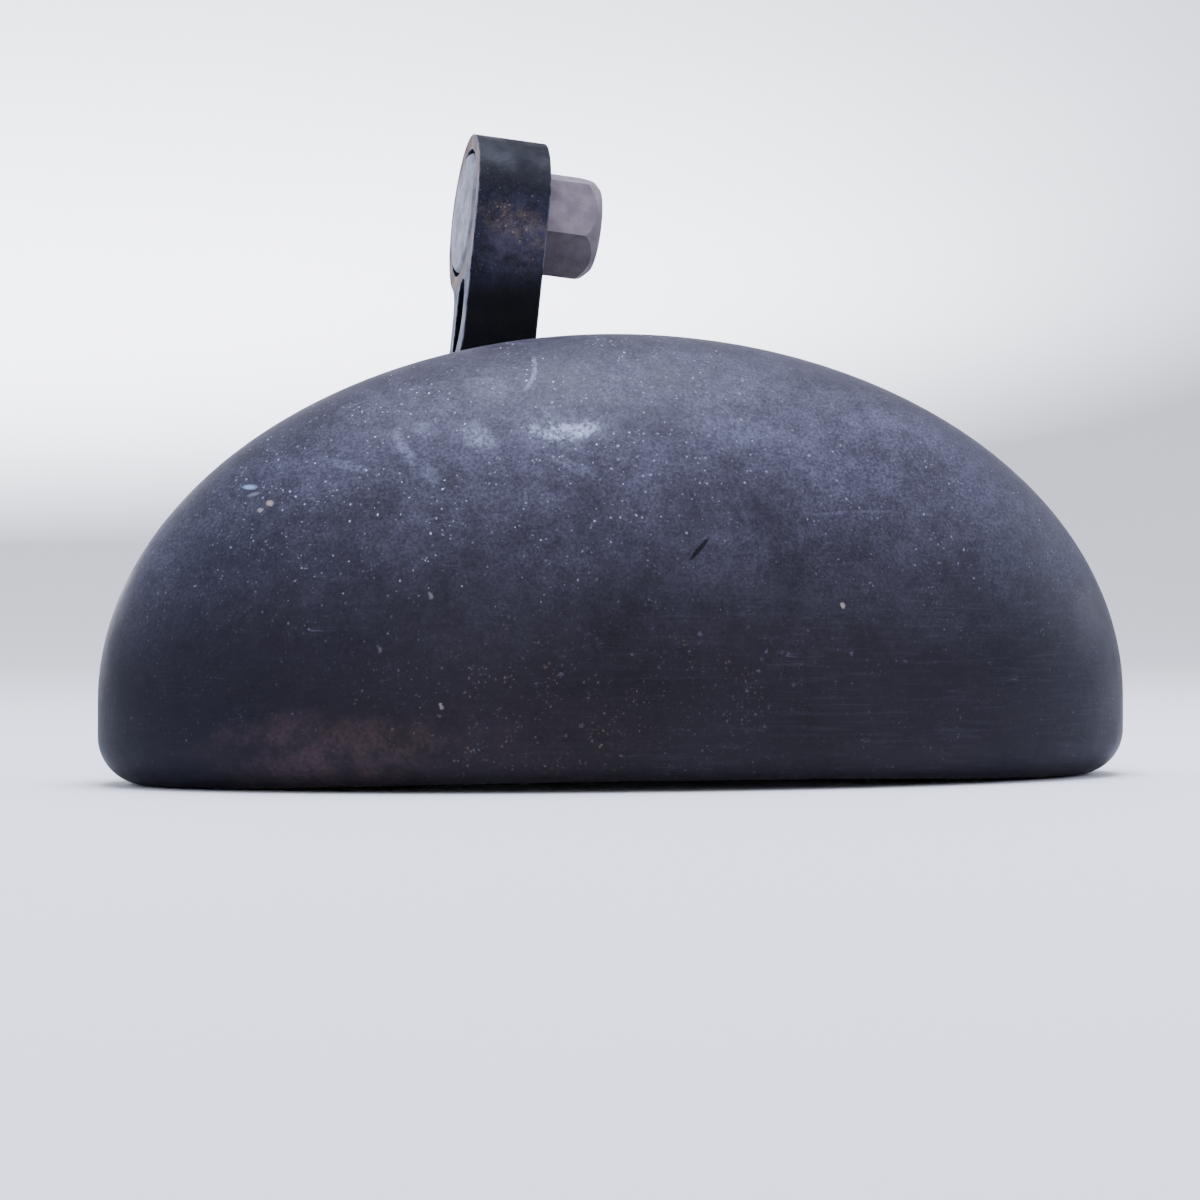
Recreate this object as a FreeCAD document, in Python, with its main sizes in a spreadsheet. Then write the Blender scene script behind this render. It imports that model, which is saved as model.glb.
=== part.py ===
"""Half-moon swing shoe hung on a forged eye arm, with its through pivot bolt.

The frame stands on the shoe's two end lands: Z is up, X runs along the shoe's
width and Y runs from the rounded front to the flat back. The origin is the
bottom centre of the whole object. Lengths are millimetres, angles degrees.
"""
import FreeCAD, Part
import math
import os
import Sketcher

# Driving sizes. Each is a cell of the sheet, under the same name.
SIZES = {
    # half-moon casting
    "shoe_width": 143.6,        # end to end
    "dome_rise": 50.2,          # crown above the dome's widest line
    "skirt_rise": 11.0,         # widest line above the base
    "front_depth": 30.0,        # crown line to the front
    "back_depth": 16.0,         # crown line to the flat back
    "rim_radius": 6.5,          # rounding of the outer base and back edges
    "arch_span": 118.0,         # length of the shallow arch between the end lands
    "arch_rise": 1.4,
    "end_wall": 14.4,
    "front_wall": 11.0,
    "crown_wall": 8.0,
    "back_wall": 8.0,
    # forged eye arm
    "arm_width": 10.5,          # along the pivot axis
    "arm_lean": 6.0,            # lean of the arm towards +X
    "arm_offset": 12.9,         # pivot's distance to the left of the shoe's centre
    "pivot_height": 80.5,
    "eye_radius": 11.5,
    "neck_depth": 11.5,
    "pocket_depth": 2.6,        # forged pocket in each flank of the neck
    "pocket_width": 5.6,
    "pocket_length": 19.0,
    "pocket_margin": 0.9,       # metal between the head's recess and the pockets
    "eye_blend": 5.0,           # fillet between the eye and the back of the neck
    "flare_height": 70.5,       # start of the foot's left flare
    "foot_width": 44.0,
    "foot_corner": 4.0,
    "foot_thickness": 4.5,
    "foot_bottom": 6.5,
    "foot_rise": 29.5,
    "foot_offset": 16.5,        # foot's centre to the left of the shoe's centre
    # foot fasteners
    "foot_spacing_x": 30.0,
    "foot_spacing_z": 14.0,
    "foot_bolt_diameter": 6.0,
    "foot_hole_clearance": 0.6,      # on the diameter, as the next two are
    "foot_washer_clearance": 0.4,
    "lock_washer_clearance": 0.3,
    "foot_hex": 10.0,           # across flats
    "foot_head_thickness": 4.0,
    "foot_nut_thickness": 5.0,
    "foot_washer_diameter": 12.0,
    "foot_washer_thickness": 1.6,
    "lock_washer_diameter": 11.0,
    "lock_washer_thickness": 1.5,
    "lock_washer_gap": 0.8,     # between the split ring's two ends
    "foot_thread_end": 1.5,     # thread standing out of the nut
    "thread_chamfer": 0.6,      # cone at the end of each bolt
    # pivot
    "pivot_diameter": 10.0,
    "running_clearance": 0.05,  # radial, bolt to bush
    "end_play": 0.15,           # each end of the bush
    "bush_wall": 2.0,
    "bush_proud": 0.3,          # bush beyond the arm's right face
    "head_diameter": 17.5,
    "head_thickness": 3.4,
    "head_proud": 0.3,          # head beyond the arm's left face
    "head_chamfer": 0.5,
    "head_gap": 0.6,            # head to the wall of its recess
    "washer_diameter": 18.0,
    "washer_thickness": 1.0,
    "washer_clearance": 0.25,   # radial, round the bolt
    "nut_hex": 14.0,            # across flats
    "nut_thickness": 8.4,
    "nut_turn": 45.0,           # turn of a nut's corner from its lowest place
    "nut_crown_radius": 9.2,    # rounded outer end of the nut
    "nut_crown_height": 1.5,    # centre of that rounding, above the nut's seat
    "nut_recess": 1.0,          # bolt's end inside the nut
}

SPARE = 1.0        # how far a cutting tool runs past the face that it opens
TOUCH = 0.01       # how near a plane an edge counts as lying on it
LONG_EDGE = 1.0    # least extent of an edge that runs along an axis
COS_30 = math.cos(math.radians(30))
TAN_30 = math.tan(math.radians(30))

# Places worked out from the driving sizes, as expressions on the sheet.
CROWN_Y = "((sheet.front_depth - sheet.back_depth) / 2 - sheet.eye_radius)"
BACK_Y = f"({CROWN_Y} + sheet.back_depth)"
PIVOT_X = "(-sheet.arm_offset)"
PIVOT_Y = f"({BACK_Y} + sheet.eye_radius)"
RECESS_FLOOR = (
    "(-sheet.arm_width / 2 - sheet.head_proud + sheet.head_thickness"
    " + sheet.washer_thickness + sheet.end_play)"
)
HEAD_STATION = "(-sheet.arm_width / 2 - sheet.head_proud)"
BUSH_LENGTH = f"(sheet.arm_width / 2 + sheet.bush_proud - {RECESS_FLOOR})"
NUT_STATION = "(sheet.arm_width / 2 + sheet.bush_proud + sheet.end_play)"
PIVOT_LENGTH = f"({NUT_STATION} + sheet.nut_thickness - sheet.nut_recess - {HEAD_STATION})"
RECESS_RADIUS = "(sheet.head_diameter / 2 + sheet.head_gap)"
BUSH_RADIUS = "(sheet.pivot_diameter / 2 + sheet.running_clearance + sheet.bush_wall)"
FOOT_HOLE_RADIUS = "((sheet.foot_bolt_diameter + sheet.foot_hole_clearance) / 2)"

doc = FreeCAD.newDocument("swing_shoe")


def make_sheet():
    """Write every driving size into its own named cell."""
    sheet = doc.addObject("Spreadsheet::Sheet", "sheet")
    for row, (name, value) in enumerate(SIZES.items(), start=1):
        sheet.set(f"A{row}", name)
        sheet.set(f"B{row}", str(value))
        sheet.setAlias(f"B{row}", name)
    doc.recompute()


def bind(item, **sizes):
    """Bind properties of an object to expressions on the sheet."""
    for name, expression in sizes.items():
        item.setExpression(name, str(expression))
    return item


def place(item, x="0", y="0", z="0", axis=(0, 0, 1), angle=0.0):
    """Put an object at an expression-bound point, turned about one axis."""
    item.Placement.Rotation = FreeCAD.Rotation(FreeCAD.Vector(*axis), angle)
    item.setExpression("Placement.Base.x", x)
    item.setExpression("Placement.Base.y", y)
    item.setExpression("Placement.Base.z", z)
    return item


def primitive(kind, name, **sizes):
    """Make a bound Part primitive."""
    return bind(doc.addObject(f"Part::{kind}", name), **sizes)


def combine(kind, name, base, tool):
    """Cut or intersect one object with another."""
    item = doc.addObject(f"Part::{kind}", name)
    item.Base = base
    item.Tool = tool
    return item


def fuse(name, *items):
    """Fuse several objects into one."""
    item = doc.addObject("Part::MultiFuse", name)
    item.Shapes = list(items)
    item.Refine = True
    return item


def round_edges(name, base, radius, wanted):
    """Round the edges of an object that a test picks out."""
    doc.recompute()
    size = float(doc.sheet.get(radius))
    numbers = [i for i, edge in enumerate(base.Shape.Edges, start=1) if wanted(edge.BoundBox)]
    item = doc.addObject("Part::Fillet", name)
    item.Base = base
    item.Edges = [(number, size, size) for number in numbers]
    return item


def put_on_pivot(item, station):
    """Lay an object's own Z along the leaning pivot axis, at a station from the arm's middle."""
    item.Placement.Rotation = FreeCAD.Rotation(FreeCAD.Vector(0, 1, 0), 90 + SIZES["arm_lean"])
    item.setExpression("Placement.Rotation.Angle", "90 + sheet.arm_lean")
    item.setExpression("Placement.Base.x", f"{PIVOT_X} + {station} * cos(sheet.arm_lean)")
    item.setExpression("Placement.Base.y", PIVOT_Y)
    item.setExpression("Placement.Base.z", f"sheet.pivot_height - {station} * sin(sheet.arm_lean)")
    return item


def add_circle(sketch, radius):
    """Add a circle about a sketch's origin with a bound radius."""
    circle = sketch.addGeometry(Part.Circle())
    sketch.addConstraint(Sketcher.Constraint("Coincident", circle, 3, -1, 1))
    index = sketch.addConstraint(Sketcher.Constraint("Radius", circle, 5))
    sketch.setExpression(f"Constraints[{index}]", radius)


def add_sketch(body, name, *radii):
    """Start a sketch of concentric circles on a body's own XY plane."""
    plane = next(p for p in body.Origin.OriginFeatures if p.Role == "XY_Plane")
    sketch = body.newObject("Sketcher::SketchObject", name)
    sketch.AttachmentSupport = [(plane, "")]
    sketch.MapMode = "FlatFace"
    for radius in radii:
        add_circle(sketch, radius)
    return sketch


def add_pad(body, name, length, *radii):
    """Pad a disc, or a ring where there are two radii, up its body's Z."""
    pad = body.newObject("PartDesign::Pad", f"{name}_pad")
    pad.Profile = add_sketch(body, f"{name}_sketch", *radii)
    return bind(pad, Length=length)


def turned_body(name, length, *radii):
    """Make a body that is one padded disc or ring."""
    body = doc.addObject("PartDesign::Body", name)
    add_pad(body, name, length, *radii)
    return body


def half_moon(name, half_width, depth, rise):
    """Upper half of an ellipsoid on top of an elliptic skirt, about the crown line."""
    dome = primitive("Ellipsoid", f"{name}_dome", Radius1=rise, Radius2=half_width, Radius3=depth)
    dome.Angle1 = 0
    dome.Angle2 = 90
    place(dome, z="sheet.skirt_rise")
    outline = primitive("Ellipse", f"{name}_outline", MajorRadius=half_width, MinorRadius=depth)
    skirt = doc.addObject("Part::Extrusion", f"{name}_skirt")
    skirt.Base = outline
    skirt.DirMode = "Custom"
    skirt.Dir = FreeCAD.Vector(0, 0, 1)
    skirt.Solid = True
    bind(skirt, LengthFwd="sheet.skirt_rise")
    return fuse(f"{name}_half_moon", dome, skirt)


def cut_back(name, solid, depth):
    """Keep what lies in front of a plane at a depth behind the crown line."""
    keeper = primitive(
        "Box", f"{name}_keeper",
        Length=f"sheet.shoe_width + 2 * {SPARE}", Width=f"sheet.front_depth + {SPARE} + {depth}",
        Height=f"sheet.skirt_rise + sheet.dome_rise + 2 * {SPARE}",
    )
    place(keeper, f"-sheet.shoe_width / 2 - {SPARE}", f"-sheet.front_depth - {SPARE}", f"{-SPARE}")
    return combine("Common", f"{name}_cut_back", solid, keeper)


def arch_tool():
    """Wide cylinder along Y that hollows the base between the end lands."""
    radius = "((sheet.arch_span / 2) ^ 2 + sheet.arch_rise ^ 2) / (2 * sheet.arch_rise)"
    arch = primitive("Cylinder", "arch", Radius=radius,
                     Height=f"sheet.front_depth + sheet.back_depth + 2 * {SPARE}")
    return place(arch, y=f"sheet.back_depth + {SPARE}", z=f"sheet.arch_rise - {radius}",
                 axis=(1, 0, 0), angle=90)


def foot_points():
    """The foot's four bolt places, as X and Z expressions."""
    for side in (-1, 1):
        for level in (-1, 1):
            x = f"(-sheet.foot_offset + {side} * sheet.foot_spacing_x / 2)"
            z = f"(sheet.foot_bottom + sheet.foot_rise / 2 + {level} * sheet.foot_spacing_z / 2)"
            yield x, z


def foot_holes(name):
    """Clearance holes along Y through the shoe's back wall and the foot."""
    holes = []
    for number, (x, z) in enumerate(foot_points(), start=1):
        hole = primitive(
            "Cylinder", f"{name}_{number}", Radius=FOOT_HOLE_RADIUS,
            Height=f"sheet.back_wall + sheet.foot_thickness + 2 * {SPARE}",
        )
        place(hole, x, f"{BACK_Y} + sheet.foot_thickness + {SPARE}", z, (1, 0, 0), 90)
        holes.append(hole)
    return fuse(name, *holes)


def make_shoe_shell():
    """Thick-walled half-moon casting, open below, with a flat drilled back."""
    blank = half_moon("outer", "sheet.shoe_width / 2", "sheet.front_depth", "sheet.dome_rise")
    faced = cut_back("outer", blank, "sheet.back_depth")
    back = SIZES["back_depth"] - TOUCH
    eased = round_edges("eased", faced, "rim_radius",
                        lambda box: box.ZMax < TOUCH or box.YMin > back)
    core = half_moon(
        "core", "sheet.shoe_width / 2 - sheet.end_wall",
        "sheet.front_depth - sheet.front_wall", "sheet.dome_rise - sheet.crown_wall",
    )
    hollow = cut_back("core", core, "sheet.back_depth - sheet.back_wall")
    cored = combine("Cut", "cored", eased, hollow)
    arched = combine("Cut", "arched", cored, arch_tool())
    place(arched, y=CROWN_Y)
    return combine("Cut", "shoe_shell", arched, foot_holes("shell_holes"))


def arm_side_form():
    """Side form of the arm: an eye above a neck whose front is flush with the eye's front.

    The neck runs down inside the foot plate's outline, to a third of the plate's height.
    """
    eye = primitive("Cylinder", "eye_blank", Radius="sheet.eye_radius", Height="sheet.arm_width")
    place(eye, "-sheet.arm_width / 2", axis=(0, 1, 0), angle=90)
    neck_length = "(sheet.pivot_height - sheet.foot_bottom - sheet.foot_rise / 3)"
    neck = primitive("Box", "neck_blank", Length="sheet.arm_width", Width="sheet.neck_depth",
                     Height=neck_length)
    place(neck, "-sheet.arm_width / 2", "-sheet.eye_radius", f"-{neck_length}")
    joined = fuse("eye_and_neck", eye, neck)
    neck_back = SIZES["neck_depth"] - SIZES["eye_radius"]
    below_eye = -2 * SIZES["eye_radius"]
    return round_edges(
        "blended", joined, "eye_blend",
        lambda box: box.XLength > LONG_EDGE and abs(box.YMin - neck_back) < TOUCH
        and box.ZMin > below_eye)


def neck_pocket(name, start):
    """Round-ended pocket tool for one flank of the neck, from a station along X."""
    centre_y = "(-sheet.eye_radius + sheet.neck_depth / 2)"
    upper = f"(-{RECESS_RADIUS} - sheet.pocket_margin - sheet.pocket_width / 2)"
    lower = f"({upper} - sheet.pocket_length)"
    depth = f"sheet.pocket_depth + {SPARE}"
    middle = primitive("Box", f"{name}_middle", Length=depth, Width="sheet.pocket_width",
                       Height="sheet.pocket_length")
    pieces = [place(middle, start, f"{centre_y} - sheet.pocket_width / 2", lower)]
    for end, height in (("upper", upper), ("lower", lower)):
        disc = primitive("Cylinder", f"{name}_{end}", Radius="sheet.pocket_width / 2", Height=depth)
        pieces.append(place(disc, start, centre_y, height, (0, 1, 0), 90))
    return fuse(name, *pieces)


def eye_bores():
    """Recess for the bolt's head on the left of the eye, and the bush's bore through it."""
    recess = primitive("Cylinder", "head_recess", Radius=RECESS_RADIUS,
                       Height=f"{RECESS_FLOOR} + sheet.arm_width / 2 + {SPARE}")
    place(recess, f"-sheet.arm_width / 2 - {SPARE}", axis=(0, 1, 0), angle=90)
    bore = primitive("Cylinder", "bush_bore", Radius=BUSH_RADIUS,
                     Height=f"sheet.arm_width + 2 * {SPARE}")
    place(bore, f"-sheet.arm_width / 2 - {SPARE}", axis=(0, 1, 0), angle=90)
    return fuse("eye_bores", recess, bore)


def flare_arc(start, end):
    """Arc that leaves one point upright and ends at another, lower one."""
    reach = abs(end.x - start.x)
    drop = start.z - end.z
    radius = (reach ** 2 + drop ** 2) / (2 * reach)
    outward = 1 if end.x > start.x else -1
    half_turn = math.asin(min(drop / radius, 1)) / 2
    middle = FreeCAD.Vector(start.x + outward * radius * (1 - math.cos(half_turn)), 0,
                            start.z - radius * math.sin(half_turn))
    return Part.Arc(start, middle, end).toShape()


def foot_plate():
    """Foot plate that narrows upwards into the leaning neck, seated on the shoe's back."""
    value = doc.sheet.get
    half = value("foot_width") / 2
    bottom = value("foot_bottom")
    top = bottom + value("foot_rise")
    slope = math.tan(math.radians(value("arm_lean")))

    def neck_side(height, side):
        """Point on one side of the leaning neck at a height, from the foot's centre line."""
        middle = value("foot_offset") - value("arm_offset")
        lean = (value("pivot_height") - height) * slope
        return FreeCAD.Vector(middle - lean + side * value("arm_width") / 2, 0, height)

    left = neck_side(value("flare_height"), -1)
    right = neck_side((value("flare_height") + top) / 2, 1)
    corners = [FreeCAD.Vector(x, 0, z) for x, z in
               ((-half, top), (-half, bottom), (half, bottom), (half, top))]
    sides = [Part.LineSegment(a, b).toShape() for a, b in zip(corners, corners[1:])]
    outline = Part.Wire([
        flare_arc(left, corners[0]), *sides, flare_arc(right, corners[3]).reversed(),
        Part.LineSegment(right, left).toShape(),
    ])
    plate = Part.Face(outline).extrude(FreeCAD.Vector(0, value("foot_thickness"), 0))
    lower_corners = [edge for edge in plate.Edges
                     if edge.BoundBox.YLength > LONG_EDGE and edge.BoundBox.ZMax < bottom + TOUCH]
    item = doc.addObject("Part::Feature", "foot_plate")
    item.Shape = plate.makeFillet(value("foot_corner"), lower_corners)
    return place(item, x="-sheet.foot_offset", y=BACK_Y)


def make_hanger_arm():
    """Forged arm: eye, leaning neck with a pocket in each flank, and a drilled foot plate."""
    right = neck_pocket("right_pocket", "sheet.arm_width / 2 - sheet.pocket_depth")
    left = neck_pocket("left_pocket", f"-sheet.arm_width / 2 - {SPARE}")
    tools = fuse("arm_tools", eye_bores(), right, left)
    upper = combine("Cut", "upper_arm", arm_side_form(), tools)
    upper.Placement.Rotation = FreeCAD.Rotation(FreeCAD.Vector(0, 1, 0), SIZES["arm_lean"])
    upper.setExpression("Placement.Rotation.Angle", "sheet.arm_lean")
    upper.setExpression("Placement.Base.x", PIVOT_X)
    upper.setExpression("Placement.Base.y", PIVOT_Y)
    upper.setExpression("Placement.Base.z", "sheet.pivot_height")
    return combine("Cut", "hanger_arm", fuse("arm_blank", upper, foot_plate()),
                   foot_holes("arm_holes"))


def hexagon(name, across_flats, height):
    """Hexagonal prism stated by its size across flats."""
    prism = primitive("Prism", name, Circumradius=f"{across_flats} / 2 / {COS_30}", Height=height)
    prism.Polygon = 6
    return prism


def eased_hexagon(name, across_flats, height, outer_end):
    """Hexagonal prism whose corners are coned off at its lower (0) or upper (1) end."""
    inner = f"({across_flats} / 2)"
    outer = f"({inner} + ({height}) / {TAN_30})"
    radii = {"Radius1": outer, "Radius2": inner} if outer_end else {"Radius1": inner, "Radius2": outer}
    cone = primitive("Cone", f"{name}_cone", Height=height, **radii)
    return combine("Common", name, hexagon(f"{name}_prism", across_flats, height), cone)


def coned_shank(name, diameter, length):
    """Round shank whose upper end is coned, as a thread's start is."""
    plain = f"({length} - sheet.thread_chamfer)"
    body = primitive("Cylinder", f"{name}_body", Radius=f"{diameter} / 2", Height=plain)
    end = primitive("Cone", f"{name}_end", Radius1=f"{diameter} / 2",
                    Radius2=f"{diameter} / 2 - sheet.thread_chamfer", Height="sheet.thread_chamfer")
    return fuse(name, body, place(end, z=plain))


def flat_ring(name, outer_diameter, bore_diameter, thickness):
    """Plain ring standing on its own XY plane."""
    disc = primitive("Cylinder", f"{name}_disc", Radius=f"{outer_diameter} / 2", Height=thickness)
    bore = primitive("Cylinder", f"{name}_bore", Radius=f"{bore_diameter} / 2", Height=thickness)
    return combine("Cut", name, disc, bore)


def foot_bolt(name):
    """Hex-headed bolt, head first, that reaches through the foot, the shoe and its nut."""
    head = eased_hexagon(f"{name}_head", "sheet.foot_hex", "sheet.foot_head_thickness", 0)
    grip = "sheet.foot_washer_thickness + sheet.foot_thickness + sheet.back_wall"
    length = (f"(sheet.foot_head_thickness + {grip} + sheet.lock_washer_thickness"
              " + sheet.foot_nut_thickness + sheet.foot_thread_end)")
    return fuse(name, head, coned_shank(f"{name}_shank", "sheet.foot_bolt_diameter", length))


def foot_washer(name):
    """Plain washer under a foot bolt's head."""
    return flat_ring(name, "sheet.foot_washer_diameter",
                     "(sheet.foot_bolt_diameter + sheet.foot_washer_clearance)",
                     "sheet.foot_washer_thickness")


def foot_lock_washer(name):
    """Split spring washer under a foot bolt's nut."""
    ring = flat_ring(f"{name}_ring", "sheet.lock_washer_diameter",
                     "(sheet.foot_bolt_diameter + sheet.lock_washer_clearance)",
                     "sheet.lock_washer_thickness")
    split = primitive("Box", f"{name}_split", Length="sheet.lock_washer_diameter",
                      Width="sheet.lock_washer_gap",
                      Height="sheet.lock_washer_thickness")
    return combine("Cut", name, ring, split)


def foot_nut(name):
    """Hex nut on a foot bolt's thread."""
    blank = eased_hexagon(f"{name}_blank", "sheet.foot_hex", "sheet.foot_nut_thickness", 1)
    bore = primitive("Cylinder", f"{name}_bore", Radius="sheet.foot_bolt_diameter / 2",
                     Height="sheet.foot_nut_thickness")
    return combine("Cut", name, blank, bore)


def foot_group(name, make_one, start_y):
    """Four of one foot fastener, each laid along -Y from the same Y."""
    group = doc.addObject("Part::Compound", name)
    group.Links = [
        place(make_one(f"{name}_{number}"), x, start_y, z, (1, 0, 0), 90)
        for number, (x, z) in enumerate(foot_points(), start=1)
    ]
    return group


def make_foot_fasteners():
    """Bolts and washers behind the foot plate, spring washers and nuts inside the shoe."""
    seat = f"{BACK_Y} + sheet.foot_thickness"
    inside = f"{BACK_Y} - sheet.back_wall"
    return [
        foot_group("foot_bolts", foot_bolt,
                   f"{seat} + sheet.foot_washer_thickness + sheet.foot_head_thickness"),
        foot_group("foot_washers", foot_washer, f"{seat} + sheet.foot_washer_thickness"),
        foot_group("foot_lock_washers", foot_lock_washer, inside),
        foot_group("foot_nuts", foot_nut, f"{inside} - sheet.lock_washer_thickness"),
    ]


def make_pivot_bolt():
    """Through bolt with a plain round flat head, sunk in the eye's recess."""
    body = doc.addObject("PartDesign::Body", "pivot_bolt")
    add_pad(body, "pivot_head", "sheet.head_thickness", "sheet.head_diameter / 2")
    add_pad(body, "pivot_shank", PIVOT_LENGTH, "sheet.pivot_diameter / 2")
    doc.recompute()
    turned = body.Tip
    outer = SIZES["head_diameter"] - TOUCH
    rim = [f"Edge{i}" for i, edge in enumerate(turned.Shape.Edges, start=1)
           if edge.BoundBox.XLength > outer and edge.BoundBox.ZMax < TOUCH]
    chamfer = body.newObject("PartDesign::Chamfer", "head_chamfer")
    chamfer.Base = (turned, rim)
    bind(chamfer, Size="sheet.head_chamfer")
    return put_on_pivot(body, HEAD_STATION)


def make_pivot_nut():
    """Hex nut whose outer end is rounded over."""
    flats = hexagon("nut_flats", "sheet.nut_hex", "sheet.nut_thickness")
    flats.Placement.Rotation = FreeCAD.Rotation(FreeCAD.Vector(0, 0, 1), SIZES["nut_turn"])
    flats.setExpression("Placement.Rotation.Angle", "sheet.nut_turn")
    crown = primitive("Sphere", "nut_crown", Radius="sheet.nut_crown_radius")
    place(crown, z="sheet.nut_crown_height")
    bore = primitive("Cylinder", "nut_bore", Radius="sheet.pivot_diameter / 2",
                     Height="sheet.nut_thickness")
    nut = combine("Cut", "pivot_nut", combine("Common", "nut_blank", flats, crown), bore)
    return put_on_pivot(nut, NUT_STATION)


def make_pivot():
    """Bush in the eye, and the bolt, washer and nut that turn in it."""
    bush = turned_body("eye_bush", BUSH_LENGTH, BUSH_RADIUS,
                       "sheet.pivot_diameter / 2 + sheet.running_clearance")
    washer = turned_body("head_washer", "sheet.washer_thickness", "sheet.washer_diameter / 2",
                         "sheet.pivot_diameter / 2 + sheet.washer_clearance")
    return [
        put_on_pivot(bush, RECESS_FLOOR),
        make_pivot_bolt(),
        put_on_pivot(washer, f"({HEAD_STATION} + sheet.head_thickness)"),
        make_pivot_nut(),
    ]


def check(parts):
    """Stop if any object failed, or if a sub-part has no sound shape."""
    failed = [item.Name for item in doc.Objects
              if "Invalid" in item.State or "Error" in item.State]
    if failed:
        raise RuntimeError(f"objects that did not build: {failed}")
    for part in parts:
        if part.Shape.isNull() or not part.Shape.isValid() or not part.Shape.Solids:
            raise RuntimeError(f"{part.Name} has no sound shape")


def main():
    """Build every sub-part, check it and write it to its own file."""
    make_sheet()
    parts = [make_shoe_shell(), make_hanger_arm(), *make_foot_fasteners(), *make_pivot()]
    doc.recompute()
    check(parts)
    os.makedirs("parts", exist_ok=True)
    for part in parts:
        part.Label = part.Name
        part.Shape.exportStep(f"parts/{part.Label}.step")
        print(part.Label, len(part.Shape.Solids), "solids", round(part.Shape.Volume, 1), "mm3")


main()
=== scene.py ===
"""Half-moon swing shoe on its forged eye arm: finishes, eased corners, light and camera.

Lengths in the classes are millimetres; Blender's own are metres. Every piece keeps the
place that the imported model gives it.
"""

import logging
import math
from dataclasses import dataclass, field
from enum import Enum
from typing import Any

import bmesh
import bpy
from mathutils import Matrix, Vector


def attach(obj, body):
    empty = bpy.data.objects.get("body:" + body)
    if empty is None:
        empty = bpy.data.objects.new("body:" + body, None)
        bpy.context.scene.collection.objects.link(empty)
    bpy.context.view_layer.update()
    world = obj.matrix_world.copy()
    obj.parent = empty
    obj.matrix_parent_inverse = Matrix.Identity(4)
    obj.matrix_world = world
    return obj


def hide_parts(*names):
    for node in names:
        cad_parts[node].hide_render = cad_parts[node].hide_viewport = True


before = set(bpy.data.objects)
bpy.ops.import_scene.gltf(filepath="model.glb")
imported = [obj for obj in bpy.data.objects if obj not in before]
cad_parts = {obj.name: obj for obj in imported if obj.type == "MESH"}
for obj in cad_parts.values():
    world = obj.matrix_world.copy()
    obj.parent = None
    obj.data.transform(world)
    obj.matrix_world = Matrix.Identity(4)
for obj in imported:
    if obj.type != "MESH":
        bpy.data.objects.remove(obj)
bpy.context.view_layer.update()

LOG = logging.getLogger("swing_shoe")
MM = 0.001
Place = tuple[float, float, float]


class Body(Enum):
    """Bodies of the model that a piece can ride on."""

    SHOE = "shoe"
    PIVOT = "pivot"


def linear(hex_colour: str) -> tuple[float, float, float, float]:
    """Turn an sRGB hex colour into linear light.

    Args:
        hex_colour: Colour as "#rrggbb".

    Returns:
        Linear red, green and blue, with an alpha of one.
    """
    channels = [int(hex_colour[i:i + 2], 16) / 255 for i in (1, 3, 5)]
    bent = [c / 12.92 if c <= 0.04045 else ((c + 0.055) / 1.055) ** 2.4 for c in channels]
    return (*bent, 1.0)


def add(tree: bpy.types.NodeTree, kind: str, inputs: dict[Any, Any] | tuple[Any, ...] = (),
        **settings: Any) -> bpy.types.Node:
    """Add one node, with its settings and what feeds it.

    Args:
        tree: Node tree that gets the node.
        kind: Blender's name for the node, without its "ShaderNode" start.
        inputs: Values or sockets for the node's inputs, by name or number, or in order.
        **settings: The node's own properties.

    Returns:
        The new node.
    """
    node = tree.nodes.new(f"ShaderNode{kind}")
    for name, value in settings.items():
        setattr(node, name, value)
    for key, value in inputs.items() if isinstance(inputs, dict) else enumerate(inputs):
        if isinstance(value, bpy.types.NodeSocket):
            tree.links.new(value, node.inputs[key])
        else:
            node.inputs[key].default_value = value
    return node


@dataclass(frozen=True)
class Grains:
    """Scattered ragged dots.

    Args:
        cell: Spacing of the places that a dot may take.
        share: Part of those places that have one.
        dot: Largest dot's radius, as a part of the spacing.
        shake: How far its outline wanders, as a part of the spacing.
    """

    cell: float
    share: float
    dot: float
    shake: float = 0.35


@dataclass(frozen=True)
class Mark:
    """One oval mark on the casting's front, by its place across and up.

    Args:
        x: Place across.
        z: Place up.
        half: Half of its length and half of its height.
        slope: Turn of its length from level, in degrees.
        strength: How much of its colour covers the paint.
        tint: Its colour, or none for the colour that its group has.
    """

    x: float
    z: float
    half: tuple[float, float]
    slope: float
    strength: float
    tint: str = ""


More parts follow.
